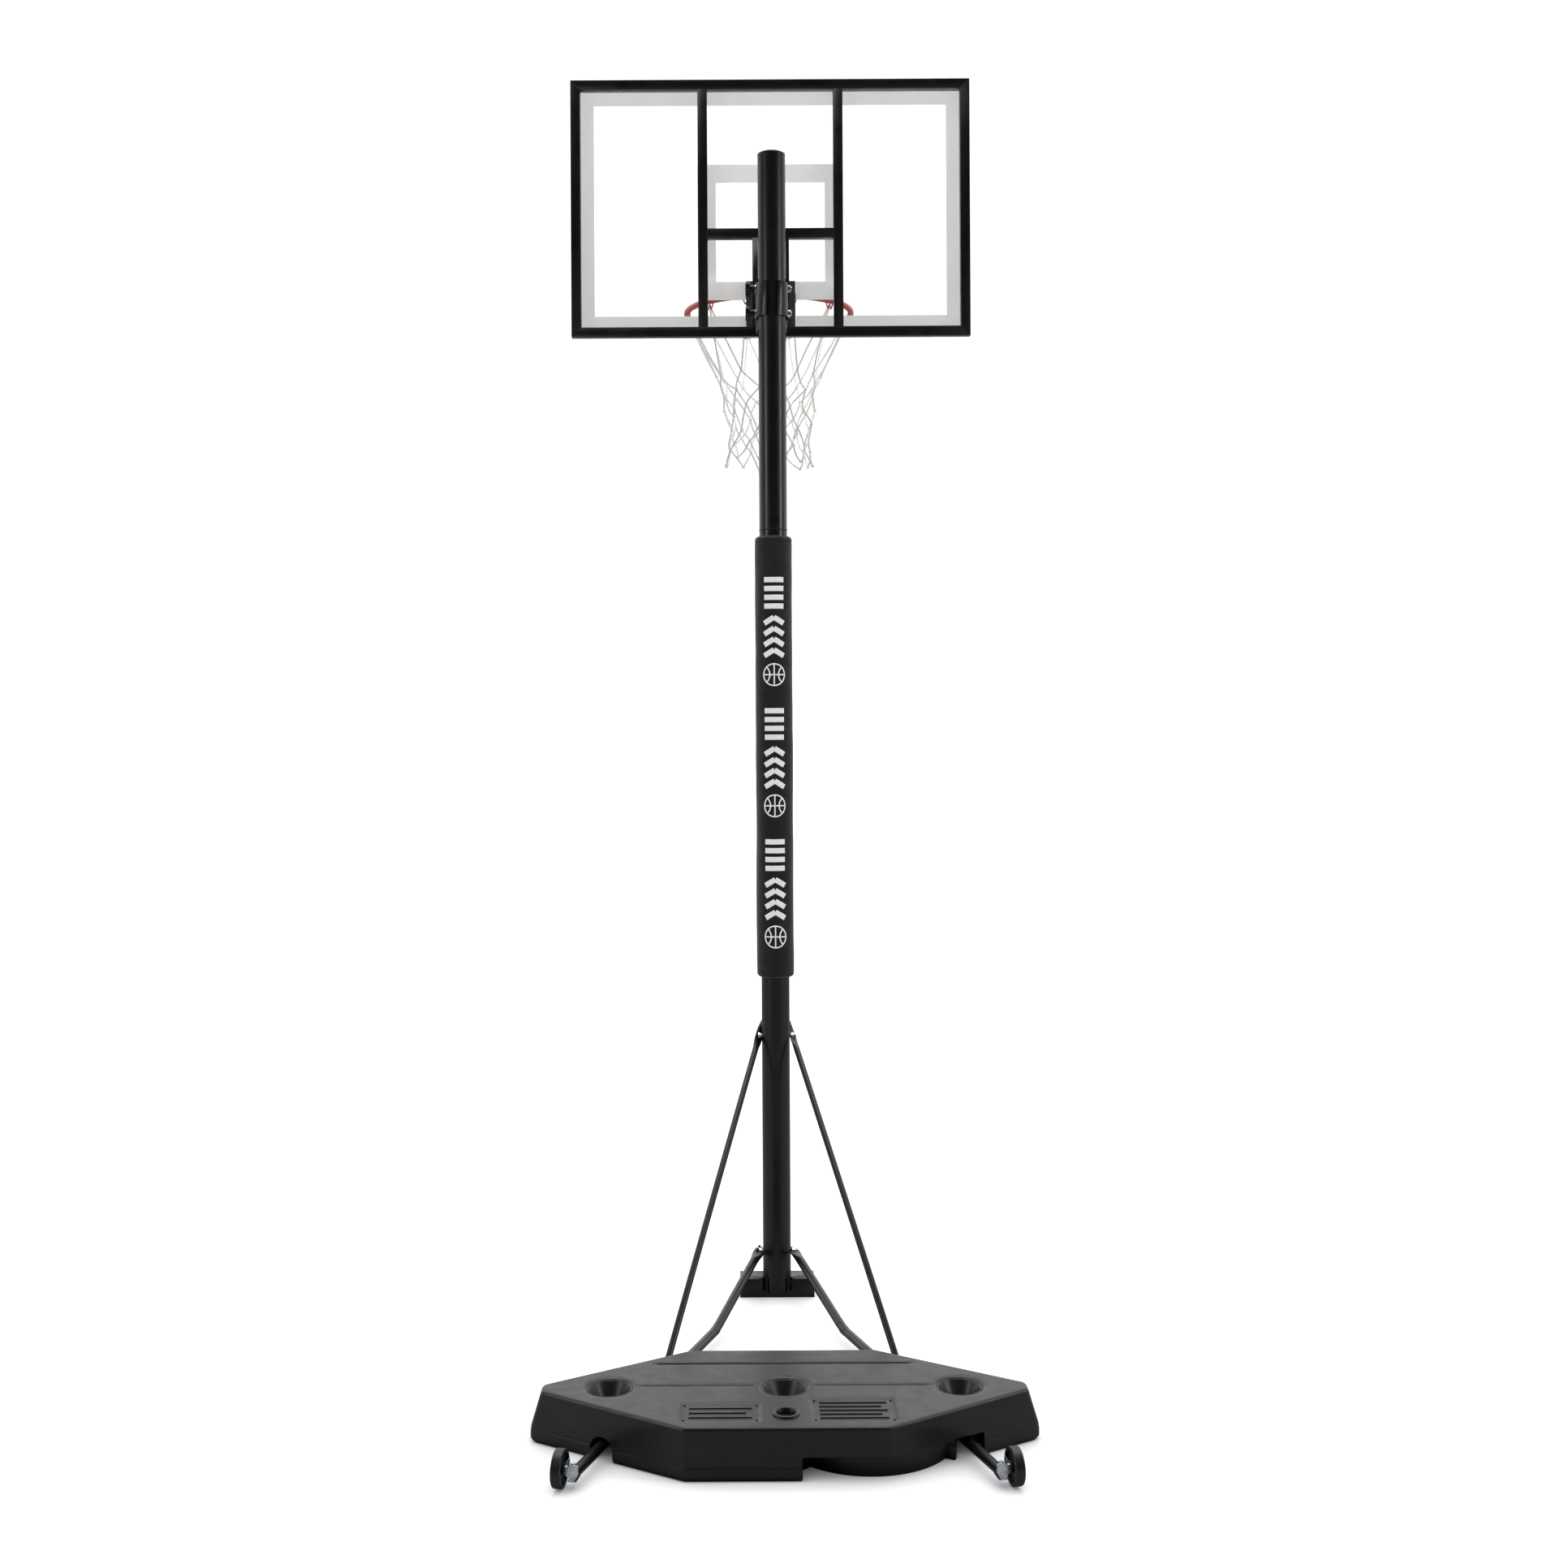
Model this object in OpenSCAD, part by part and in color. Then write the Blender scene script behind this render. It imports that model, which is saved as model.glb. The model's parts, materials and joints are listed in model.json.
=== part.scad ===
// Portable basketball hoop: a water-filled base tank on two rolling tubes, a three-piece pole
// with a foam pad, and a framed clear board with rim and net on a clamp that slides on the pole.
// The origin is on the floor on the pole's axis; +Y is the playing side, +Z is up.

/* [Pole] */
// Outer diameter of the pole
pole_d = 70; // [64:1:72]
// Wall of the pole tubes
pole_wall = 1.5; // [1.2:0.1:2.5]
// Height of the pole's top, without its cap
pole_top = 2866; // [2860:1:2960]
// Height of the joint between the upper and middle tubes
joint_upper = 1924; // [1915:1:1940]
// Height of the joint between the middle and lower tubes
joint_lower = 980; // [900:1:1100]

/* [Pole pad] */
// Outer diameter of the foam pad
pad_d = 94; // [86:1:110]
// Height of the pad's lower end
pad_bottom = 800; // [780:1:850]
// Height of the pad's upper end
pad_top = 1906; // [1860:1:1910]

/* [Board] */
// Width of the board frame
board_w = 1045; // [1000:5:1100]
// Height of the board frame
board_h = 672; // [660:2:700]
// Height of the frame's lower edge
board_z = 2448; // [2446:1:2450]
// Side of the square frame tube
rail = 25; // [22:1:28]
// Thickness of the clear panel
panel_t = 4; // [3:0.5:5]

/* [Rim] */
// Height of the ring above the floor
ring_z = 2597; // [2594:1:2600]
// Inner diameter of the ring
ring_d = 450; // [440:5:460]
// Diameter of the ring's rod
rod_d = 17; // [15:1:18]
// Distance from the pole's axis to the ring's centre
ring_y = 580; // [570:5:600]

/* [Net] */
// Height of the net's lower end
net_bottom = 2130; // [2100:5:2200]
// Radius of the net's narrow part
net_r = 122; // [118:1:135]

/* [Base tank] */
// Height of the tank's top face
tank_h = 103; // [100:1:110]
// Wall of the blow-moulded tank
tank_wall = 3.5; // [3:0.1:5]
// Width of the tank at its parting line
tank_w = 1026; // [1020:2:1040]

/* [Wheels] */
// Diameter of the wheels
wheel_d = 72; // [66:1:76]
// Width of the wheels
wheel_w = 19; // [17:1:20]
// Angle that each wheel turns away from the Y axis
wheel_toe = 11; // [9:1:13]

/* [Hidden] */

$fn = 48;
eps = 0.5;
gap = 0.3;                       // between soft or sliding pieces and their neighbours

pole_r = pole_d / 2;
spigot_len = 90;                 // swaged end that goes into the tube below
spigot_r = pole_r - pole_wall - 0.2;
shoulder = 2;                    // step that joins the spigot to its tube

foot_bolt_z = 32;
foot_neck = 48;                  // from the pole's axis to the seat of the foot bolt's head

frame_y = 170;                   // back plane of the board frame
panel_y = frame_y + rail;
front_y = panel_y + panel_t;
print_t = 0.3;
rail_wall = 1.2;
upright_x = 177.5;
bar_z = 2718;                    // centre of the cross bar
channel_w = 96;
channel_t = 2.5;
plate_y = front_y + print_t;     // back face of the rim plate
plate_w = 130;
plate_h = 140;
plate_t = 4;
plate_z = 2459;
rim_bolt_x = 22;
rim_bolt_z = [plate_z + 30, plate_z + 95];
ring_r = (ring_d + rod_d) / 2;   // centreline of the ring's rod

clamp_t = 4.5;
clamp_r = pole_r + 0.5;          // inner radius of the clamp jaws
clamp_out = clamp_r + clamp_t;
clamp_z = 2458;
clamp_h = 86;
leg_h = 104;
leg_z = 2452;
bolt_y = pole_r + 10;            // knob bolts pass between the pole and the board
bolt_r = 4.95;
knob_z = [2541, 2478];           // upper and lower knob
washer_t = 2.5;

tube_d = 21;
tube_wall = 1.2;
strut_d = 15;
pole_bolt_z = [108, 650];        // lower tubes and struts on the pole
tube_z = 30;
bend = [150, -345, tube_z];
tube_slope = 0.338;              // sideways run of the tubes for each unit towards the wheels
tube_run = [tube_slope, -1, 0];
tube_end_y = -1100;
strut_foot_y = -655;
tab_t = 3.5;
tab_x = pole_r + 0.2;
tab_len = 30;
lap = 1.3;                       // how far the two lengths of a bent tube run past the bend

function tube_x(y) = bend[0] + tube_slope * (bend[1] - y);
tube_end = [tube_x(tube_end_y), tube_end_y, tube_z];
strut_foot = [tube_x(strut_foot_y), strut_foot_y, tube_z + tube_d / 2 + tab_t / 2 + 0.2];

wheel_r = wheel_d / 2;
wheel_pos = [431, -1093, wheel_r + 2.5];
axle_r = 4;
flange_x = wheel_w / 2 + 1.6;    // from the wheel's middle plane to the bracket flange
sheet_t = 2;
bolt_local = [22.4, 14];         // the tube's end bolt, seen from the wheel
tube_low = tube_z - tube_d / 2 - wheel_pos[2];

part_z = 29;                     // height of the tank's parting line
dimple_y = -864;
dimple_x = 354;
dimple_r = 45;
fill_y = -1001;
fill_r = 19.5;
channel_r = 25;                  // underside channels that hold the rolling tubes
channel_z = 21;

// ---- shared shapes ----

module rod(a, b, d) {
    v = b - a;
    len = norm(v);
    translate(a) rotate([0, acos(v[2] / len), atan2(v[1], v[0])]) cylinder(d = d, h = len);
}

// A straight length of bent tube stock, with flat-sided walls
module stock(a, b, d) { hull() rod(a, b, d, $fn = 24); }

module hex_z(r, h) { cylinder(r = r, h = h, $fn = 6); }

module along_x(x, y, z) { translate([x, y, z]) rotate([0, 90, 0]) children(); }

module along_y(x, y, z) { translate([x, y, z]) rotate([-90, 0, 0]) children(); }

module pair() {
    children();
    mirror([1, 0, 0]) children();
}

module square_tube_x(len, cut_a, cut_b) {
    difference() {
        translate([-len / 2, 0, 0]) cube([len, rail, rail]);
        translate([-len / 2 - eps, rail_wall, rail_wall])
            cube([len + 2 * eps, rail - 2 * rail_wall, rail - 2 * rail_wall]);
        if (cut_a) translate([-len / 2, -eps, 0]) mitre_wedge();
        if (cut_b) translate([len / 2, -eps, 0]) mirror([1, 0, 0]) mitre_wedge();
    }
}

module mitre_wedge() {
    rotate([-90, 0, 0])
        linear_extrude(rail + 2 * eps)
            polygon([[-eps, eps], [-eps, -rail - eps], [rail + eps, -rail - eps]]);
}

// ---- base tank ----

module tank_outline(x_in, y_in, r) {
    half = tank_w / 2 - x_in;
    pts = [[206, -656 - y_in], [half, -842], [half, -892 + y_in / 3], [207, -1075 + y_in]];
    for (p = pts, s = [-1, 1]) translate([s * (p[0] - r), p[1] + (p[1] < -870 ? r : -r)])
        circle(r = r, $fn = 32);
}

module tank_level(z, h, x_in, y_in, r) {
    translate([0, 0, z]) linear_extrude(h) tank_outline(x_in, y_in, r);
}

module tank_body(w) {
    hull() {
        tank_level(w, 1, 7 + w, 7 + w, 14);
        tank_level(9, part_z - 9, w, w, 14);
        tank_level(tank_h - 5 - w, 1, 21 + w, 6 + w, 14);
        tank_level(tank_h - 1 - w, 1, 25 + w, 10 + w, 12);
    }
}

module bowl(w) {
    translate([0, 0, tank_h - 34 - w]) cylinder(r1 = 24 + w, r2 = dimple_r + w, h = 34 + w + eps);
}

module bowls(w) {
    for (x = [-dimple_x, 0, dimple_x]) translate([x, dimple_y, 0]) bowl(w);
}

module arch(r) {
    polygon(concat([for (a = [0 : 15 : 180]) [r * cos(a), channel_z + r * sin(a)]],
        [[-r, -eps], [r, -eps]]));
}

module tube_channels(w) {
    middle_y = -875;
    len = 580;
    pair() translate([tube_x(middle_y), middle_y, 0]) rotate([0, 0, atan(tube_slope)])
        rotate([90, 0, 0]) translate([0, 0, -len / 2]) linear_extrude(len) arch(channel_r + w);
}

module belly_cut(w) {
    cut_h = 46;
    difference() {
        translate([30 - w, -1140, -eps]) cube([360 + 2 * w, 240 + w, cut_h + eps + w]);
        translate([165, -872, -1]) cylinder(r = 198 - w, h = cut_h + 3 + w);
    }
}

module tank_cavity(w) {
    difference() {
        tank_body(w);
        bowls(w);
        tube_channels(w);
        belly_cut(w);
        translate([0, fill_y, tank_h - 20]) cylinder(r = fill_r + 6, h = 21);
    }
}

module grooves() {
    depth = 2.5;
    translate([-266, -742, tank_h - depth]) cube([532, 6, depth + eps]);
    pair() translate([62, -859, tank_h - depth]) cube([dimple_x - 126, 5, depth + eps]);
    translate([-206, -1036, tank_h - depth]) cube([156, 88, depth + eps]);
    translate([50, -1036, tank_h - depth]) cube([166, 110, depth + eps]);
}

module tank_shell() {
    color("dimgray") difference() {
        tank_body(0);
        tank_cavity(tank_wall);
        bowls(0);
        tube_channels(0);
        belly_cut(0);
        grooves();
        translate([0, fill_y, tank_h - 24]) cylinder(r = fill_r, h = 24 + eps);
    }
}

// Water between the two underside channels, up to the foot of the hand wells
module water_ballast() {
    fill_low = 8;
    fill_high = 64;
    half = [[222, -678], [284, -865], [284, -1003]];
    color("lightblue") translate([0, 0, fill_low]) linear_extrude(fill_high - fill_low)
        polygon(concat(half, [for (k = [len(half) - 1 : -1 : 0]) [-half[k][0], half[k][1]]]));
}

module fill_plug() {
    color("black") translate([0, fill_y, 0]) difference() {
        union() {
            translate([0, 0, tank_h - 14]) cylinder(r = fill_r - 0.4, h = 14);
            translate([0, 0, tank_h + gap]) cylinder(r = 27.5, h = 4);
            translate([0, 0, tank_h - 1]) cylinder(r = fill_r - 0.4, h = 2);
        }
        translate([0, 0, tank_h - 9]) cylinder(r = 15, h = 20);
    }
}

// ---- foot and pole ----

module foot_block() {
    color("dimgray") difference() {
        translate([-93, -30, 0]) cube([186, 65, 46]);
        translate([0, 0, 10]) cylinder(r = pole_r + gap, h = 50);
        translate([-24, -40, 10]) cube([48, 40, 50]);
        pair() translate([30, -31, 18]) cube([7, 14, 30]);
        along_x(-100, 0, foot_bolt_z) cylinder(r = 4.2, h = 200);
        pair() along_x(foot_neck, 0, foot_bolt_z) cylinder(r = 9, h = 50);
    }
}

module foot_bolt() {
    seat = foot_neck + 0.2;
    color("silver") {
        along_x(-seat, 0, foot_bolt_z) cylinder(r = 4, h = 2 * seat + 8);
        along_x(-seat, 0, foot_bolt_z) mirror([0, 0, 1]) hex_z(7, 5);
        along_x(seat, 0, foot_bolt_z) hex_z(7, 6);
    }
}

module pole_lower() {
    color("black") difference() {
        translate([0, 0, 10.2]) cylinder(r = pole_r, h = joint_lower - 10.2);
        translate([0, 0, 9]) cylinder(r = pole_r - pole_wall, h = joint_lower);
        for (z = pole_bolt_z) along_x(-60, 0, z) cylinder(r = 4.2, h = 120);
        along_x(-60, 0, foot_bolt_z) cylinder(r = 4.2, h = 120);
    }
}

module pole_section(bottom, top) {
    difference() {
        union() {
            translate([0, 0, bottom]) cylinder(r = pole_r, h = top - bottom);
            translate([0, 0, bottom - spigot_len]) cylinder(r = spigot_r, h = spigot_len + eps);
        }
        translate([0, 0, bottom + shoulder]) cylinder(r = pole_r - pole_wall, h = top);
        translate([0, 0, bottom - spigot_len - eps])
            cylinder(r = spigot_r - pole_wall, h = spigot_len + shoulder + 2 * eps);
    }
}

module pole_middle() { color("black") pole_section(joint_lower, joint_upper); }

module pole_upper() { color("black") pole_section(joint_upper, pole_top); }

module pole_cap() {
    color("black") {
        translate([0, 0, pole_top - 20]) cylinder(r = pole_r - pole_wall - 0.1, h = 20.1);
        translate([0, 0, pole_top]) cylinder(r = pole_r, h = 3);
        translate([0, 0, pole_top + 3]) cylinder(r1 = pole_r, r2 = pole_r - 9, h = 5);
    }
}

module pole_pad() {
    round_r = 8;
    color("black") rotate_extrude() difference() {
        union() {
            translate([pole_r + gap, pad_bottom + round_r])
                square([pad_d / 2 - pole_r - gap, pad_top - pad_bottom - 2 * round_r]);
            translate([pole_r + gap, pad_bottom])
                square([pad_d / 2 - pole_r - gap - round_r, pad_top - pad_bottom]);
            for (z = [pad_bottom + round_r, pad_top - round_r])
                translate([pad_d / 2 - round_r, z]) circle(r = round_r);
        }
        translate([0, pad_bottom - 1]) square([pole_r + gap, pad_top - pad_bottom + 2]);
    }
}

// ---- rolling tubes, struts and their bolts ----

module pole_tab(z, away) {
    difference() {
        translate([tab_x, 0, z]) rotate([away, 0, 0]) translate([0, -tab_len, -9])
            cube([tab_t, tab_len + 11, 18]);
        along_x(tab_x - 1, 0, z) cylinder(r = 4.2, h = tab_t + 2);
    }
}

module axle_tube() {
    top = [tab_x + tube_d / 2 - 1, -tab_len + 4, pole_bolt_z[0] - 6.5];
    bore_start = top + 14 * (bend - top) / norm(bend - top);
    difference() {
        union() {
            pole_tab(pole_bolt_z[0], 14);
            stock(top, bend + lap * (bend - top) / norm(bend - top), tube_d);
            stock(bend - lap * tube_run, tube_end, tube_d);
        }
        stock(bore_start, bend, tube_d - 2 * tube_wall);
        stock(bend - 4 * tube_run, tube_end + tube_run, tube_d - 2 * tube_wall);
        translate([strut_foot[0], strut_foot[1], 0]) cylinder(r = 4.2, h = 60);
        bracket_frame() translate([bolt_local[0], bolt_local[1], -40]) cylinder(r = 3.2, h = 60);
    }
}

module axle_tube_right() { color("black") axle_tube(); }

module axle_tube_left() { color("black") mirror([1, 0, 0]) axle_tube(); }

module strut() {
    top = [tab_x + strut_d / 2 - 1, -tab_len * 0.72, pole_bolt_z[1] - tab_len * 0.62];
    foot = strut_foot + [-4, 12, 4.8];
    difference() {
        union() {
            pole_tab(pole_bolt_z[1], 42);
            stock(top, foot, strut_d);
            translate([strut_foot[0], strut_foot[1], strut_foot[2] - tab_t / 2])
                rotate([0, 0, atan(tube_slope)]) translate([-9, -11, 0]) cube([18, 34, tab_t]);
        }
        stock(top + [0, -6, -6], foot + [0, -0.5, -0.5], strut_d - 2 * tube_wall);
        translate([strut_foot[0], strut_foot[1], 0]) cylinder(r = 4.2, h = 80);
    }
}

module strut_right() { color("black") strut(); }

module strut_left() { color("black") mirror([1, 0, 0]) strut(); }

module pole_bolts() {
    reach = tab_x + tab_t + 0.2;
    color("silver") for (z = pole_bolt_z) {
        along_x(-reach, 0, z) cylinder(r = 4, h = 2 * reach + 12);
        along_x(-reach, 0, z) mirror([0, 0, 1]) hex_z(7, 5.5);
        along_x(reach, 0, z) hex_z(7, 6.5);
    }
}

module strut_bolts() {
    low = tube_z - tube_d / 2 - 0.2;
    high = strut_foot[2] + tab_t / 2 + 0.2;
    color("silver") pair() translate([strut_foot[0], strut_foot[1], 0]) {
        translate([0, 0, low - 9]) cylinder(r = 4, h = high - low + 9);
        translate([0, 0, low - 7]) hex_z(7, 7);
        translate([0, 0, high]) hex_z(7, 5);
    }
}

// ---- wheels ----

// Places children in the frame of the right wheel: x towards the tank, y forward
module bracket_frame() {
    translate(wheel_pos) rotate([0, 0, wheel_toe]) mirror([1, 0, 0]) children();
}

module wheel_bracket() {
    front_y = -8;
    color("silver") bracket_frame() difference() {
        union() {
            translate([flange_x, front_y, -9]) cube([sheet_t, 32, 20]);
            translate([flange_x, front_y + sheet_t, 0]) rotate([90, 0, 0]) linear_extrude(sheet_t)
                polygon([[0, -5], [0, 5], [17, 12], [27, 9], [27, -6], [19, tube_low - 2],
                    [13, tube_low - 2]]);
            translate([flange_x + 6, front_y, tube_low - sheet_t - 0.2])
                cube([17, 32, sheet_t]);
        }
        along_x(flange_x - 1, 0, 0) cylinder(r = axle_r + 0.1, h = sheet_t + 2);
        translate([bolt_local[0], bolt_local[1], -40]) cylinder(r = 3.2, h = 60);
    }
}

module wheel_bracket_right() { wheel_bracket(); }

module wheel_bracket_left() { mirror([1, 0, 0]) wheel_bracket(); }

module bracket_bolts() {
    low = tube_low - sheet_t - 0.4;
    color("gray") pair() bracket_frame() translate([bolt_local[0], bolt_local[1], low]) {
        translate([0, 0, -1]) cylinder(r = 3, h = tube_d + sheet_t + 2.5);
        translate([0, 0, -5]) cylinder(r = 5.5, h = 5);
        translate([0, 0, tube_d + sheet_t + 0.8]) hex_z(5, 4);
    }
}

module axle() {
    color("gray") bracket_frame() {
        along_x(-wheel_w / 2 - 2, 0, 0) cylinder(r = axle_r, h = wheel_w / 2 + flange_x + 6);
        along_x(-wheel_w / 2 - 4.4, 0, 0) cylinder(r = 7, h = 4);
        along_x(flange_x + sheet_t + 0.1, 0, 0) cylinder(r = 6, h = 3);
    }
}

module axle_right() { axle(); }

module axle_left() { mirror([1, 0, 0]) axle(); }

module wheel() {
    hub_r = 11;
    rim_in = wheel_r - 7;
    color("dimgray") bracket_frame() rotate([0, 90, 0]) rotate_extrude($fn = 64) difference() {
        union() {
            translate([axle_r + 0.08, -wheel_w / 2]) square([hub_r - axle_r, wheel_w]);
            translate([axle_r + 1, -4]) square([rim_in, 8]);
            translate([rim_in, -wheel_w / 2 + 3]) square([wheel_r - rim_in, wheel_w - 6]);
            translate([rim_in, -wheel_w / 2]) square([wheel_r - rim_in - 3, wheel_w]);
            for (s = [-1, 1]) translate([wheel_r - 3, s * (wheel_w / 2 - 3)]) circle(r = 3);
        }
        translate([wheel_r, -wheel_w]) square([10, 2 * wheel_w]);
    }
}

module wheel_right() { wheel(); }

module wheel_left() { mirror([1, 0, 0]) wheel(); }

// ---- board frame ----

module side_rail() {
    translate([board_w / 2, frame_y, board_z + board_h / 2]) rotate([0, -90, 0])
        square_tube_x(board_h, true, true);
}

module rail_bottom() {
    color("black") translate([0, frame_y, board_z]) square_tube_x(board_w, true, true);
}

module rail_top() {
    color("black") translate([0, frame_y, board_z + board_h]) mirror([0, 0, 1])
        square_tube_x(board_w, true, true);
}

module rail_right() { color("black") side_rail(); }

module rail_left() { color("black") mirror([1, 0, 0]) side_rail(); }

module upright(x) {
    color("black") translate([x + rail / 2, frame_y, board_z + board_h / 2]) rotate([0, -90, 0])
        square_tube_x(board_h - 2 * rail, false, false);
}

module upright_left() { upright(-upright_x); }

module upright_right() { upright(upright_x); }

module cross_bar() {
    color("black") translate([0, frame_y, bar_z - rail / 2])
        square_tube_x(2 * upright_x - rail, false, false);
}

module rim_bolt_holes(y, h) {
    for (x = [-rim_bolt_x, rim_bolt_x], z = rim_bolt_z) along_y(x, y, z) cylinder(r = 4.2, h = h);
}

module mount_channel() {
    low = board_z + rail;
    high = bar_z - rail / 2;
    color("black") difference() {
        translate([-channel_w / 2, frame_y, low]) cube([channel_w, rail, high - low]);
        translate([-channel_w / 2 + channel_t, frame_y + channel_t, low - 1])
            cube([channel_w - 2 * channel_t, rail, high - low + 2]);
        rim_bolt_holes(frame_y - 1, channel_t + 2);
    }
}

// ---- clamp on the pole ----

module clamp_half() {
    difference() {
        union() {
            translate([0, 0, clamp_z]) linear_extrude(clamp_h) difference() {
                circle(r = clamp_out, $fn = 96);
                circle(r = clamp_r, $fn = 96);
                translate([-clamp_out - 1, -clamp_out - 1]) square([clamp_out + 14, 2 * clamp_out + 2]);
                square([clamp_out + 1, clamp_out + 1]);
            }
            translate([clamp_r, -eps, leg_z]) cube([clamp_t, frame_y + eps, leg_h]);
            translate([clamp_r, frame_y - 3, leg_z + 22]) cube([9, 3, leg_h - 22]);
        }
        for (z = knob_z) along_x(clamp_r - 1, bolt_y, z) cylinder(r = 5.6, h = clamp_t + 2);
    }
}

module clamp_right() { color("black") clamp_half(); }

module clamp_left() { color("black") mirror([1, 0, 0]) clamp_half(); }

module clamp_washers() {
    color("silver") for (z = knob_z) along_x(-clamp_out - washer_t, bolt_y, z) difference() {
        cylinder(r = 11, h = washer_t);
        translate([0, 0, -1]) cylinder(r = 5.6, h = washer_t + 2);
    }
}

module clamp_nuts() {
    color("silver") for (z = knob_z) along_x(clamp_out, bolt_y, z) difference() {
        hex_z(9.2, 8);
        translate([0, 0, -1]) cylinder(r = 5, h = 10);
    }
}

module knob(z) {
    neck_x = -clamp_out - washer_t - gap;
    lobes = 6;
    color("black") along_x(neck_x, bolt_y, z) mirror([0, 0, 1]) difference() {
        union() {
            cylinder(r = 10, h = 12);
            translate([0, 0, 12]) cylinder(r = 16.5, h = 12);
            for (i = [0 : lobes - 1]) rotate([0, 0, i * 360 / lobes])
                translate([15.5, 0, 13.5]) cylinder(r = 4.5, h = 9);
        }
        translate([0, 0, -1]) cylinder(r = bolt_r + 0.05, h = 15);
    }
}

module knob_upper() { knob(knob_z[0]); }

module knob_lower() { knob(knob_z[1]); }

module knob_bolt(z) {
    start = -clamp_out - washer_t - gap - 13;
    color("silver") along_x(start, bolt_y, z) cylinder(r = bolt_r, h = clamp_out + 11 - start);
}

module knob_bolt_upper() { knob_bolt(knob_z[0]); }

module knob_bolt_lower() { knob_bolt(knob_z[1]); }

// ---- panel and print ----

module screw_places() {
    inset = rail / 2;
    for (x = [-board_w / 2 + inset, -upright_x, upright_x, board_w / 2 - inset],
         z = [board_z + inset, board_z + board_h - inset]) translate([x, 0, z]) children();
    for (x = [-board_w / 2 + inset, board_w / 2 - inset])
        translate([x, 0, board_z + board_h / 2]) children();
}

module panel() {
    edge = 2;
    color("lightcyan", 0.4) difference() {
        translate([-board_w / 2 + edge, panel_y, board_z + edge])
            cube([board_w - 2 * edge, panel_t, board_h - 2 * edge]);
        screw_places() along_y(0, panel_y - 1, 0) cylinder(r = 2.6, h = panel_t + 2);
        rim_bolt_holes(panel_y - 1, panel_t + 2);
    }
}

module print_frame(x, z, w, h, band) {
    difference() {
        translate([x - w / 2, front_y, z]) cube([w, print_t, h]);
        translate([x - w / 2 + band, front_y - 1, z + band])
            cube([w - 2 * band, 3, h - 2 * band]);
    }
}

module border_print() {
    edge = 5;
    color("white") difference() {
        print_frame(0, board_z + edge, board_w - 2 * edge, board_h - 2 * edge, 54);
        screw_places() along_y(0, front_y - 1, 0) cylinder(r = 6, h = 4);
        translate([-plate_w / 2 - 1, front_y - 1, plate_z - 2]) cube([plate_w + 2, 4, 80]);
    }
}

module target_print() {
    target_w = 383;
    target_h = 357;
    color("white") difference() {
        print_frame(0, ring_z - 48, target_w, target_h, 48);
        translate([-plate_w / 2 - 1, front_y - 1, ring_z - 60])
            cube([plate_w + 2, 4, plate_z + plate_h - ring_z + 61]);
    }
}

module panel_screws() {
    color("silver") screw_places() {
        along_y(0, panel_y + 0.1, 0) cylinder(r = 2.5, h = panel_t + 0.4);
        along_y(0, front_y + 0.1, 0) cylinder(r1 = 5, r2 = 3.5, h = 2.4);
    }
}

// ---- rim and net ----

module rim_plate() {
    color("black") difference() {
        translate([-plate_w / 2, plate_y, plate_z]) cube([plate_w, plate_t, plate_h]);
        rim_bolt_holes(plate_y - 1, plate_t + 2);
    }
}

module rim_neck() {
    neck_t = 4;
    color("firebrick") difference() {
        translate([0, 0, ring_z - neck_t / 2]) linear_extrude(neck_t)
            polygon([[-60, plate_y + plate_t], [60, plate_y + plate_t],
                [52, ring_y - 200], [-52, ring_y - 200]]);
        translate([0, ring_y, ring_z - 20]) cylinder(r = ring_r - rod_d / 2 + 4, h = 40, $fn = 96);
        ring_solid(0.1);
    }
}

module rim_gussets() {
    drop = 104;
    t = 4;
    reach = ring_y - ring_r - rod_d / 2 - 6;
    color("firebrick") pair() translate([44, 0, 0]) rotate([90, 0, 90]) linear_extrude(t)
        polygon([[plate_y + plate_t, ring_z - 2.1], [reach, ring_z - 2.1], [reach, ring_z - 12],
            [plate_y + plate_t, ring_z - drop]]);
}

module rim_bolts() {
    color("silver") for (x = [-rim_bolt_x, rim_bolt_x], z = rim_bolt_z) {
        along_y(x, frame_y - 6, z) cylinder(r = 4, h = plate_y + plate_t - frame_y + 6.3);
        along_y(x, frame_y - 6.2, z) hex_z(7, 6);
        along_y(x, plate_y + plate_t + 0.2, z) cylinder(r1 = 8, r2 = 5, h = 4);
    }
}

module ring_solid(grow) {
    translate([0, ring_y, ring_z]) rotate_extrude($fn = 96)
        translate([ring_r, 0]) circle(d = rod_d + 2 * grow, $fn = 32);
}

module rim_ring() { color("firebrick") ring_solid(0); }

// Bent wire hooks that carry the top loops of the net
module net_hooks() {
    hooks = 12;
    wire = 4;
    color("firebrick") for (i = [0 : hooks - 1])
        translate([0, ring_y, ring_z - rod_d / 2 - 0.2]) rotate([0, 0, (i + 0.5) * 360 / hooks])
            translate([ring_r, 0, 0]) rotate([90, 0, 90]) rotate([0, 0, 180])
                rotate_extrude(angle = 180) translate([9, 0]) circle(d = wire);
}

module net() {
    wall = 5;
    top_z = ring_z - 26;
    top_r = ring_r - 14;
    neck_z = 2330;
    knot_z = 2450;
    knot_r = net_r + 38;
    color("ivory") translate([0, ring_y, 0]) rotate_extrude($fn = 64)
        polygon([[top_r, top_z], [top_r - wall, top_z], [knot_r - wall, knot_z],
            [net_r - wall, neck_z], [net_r - wall, net_bottom], [net_r, net_bottom],
            [net_r, neck_z], [knot_r, knot_z]]);
}

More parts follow.
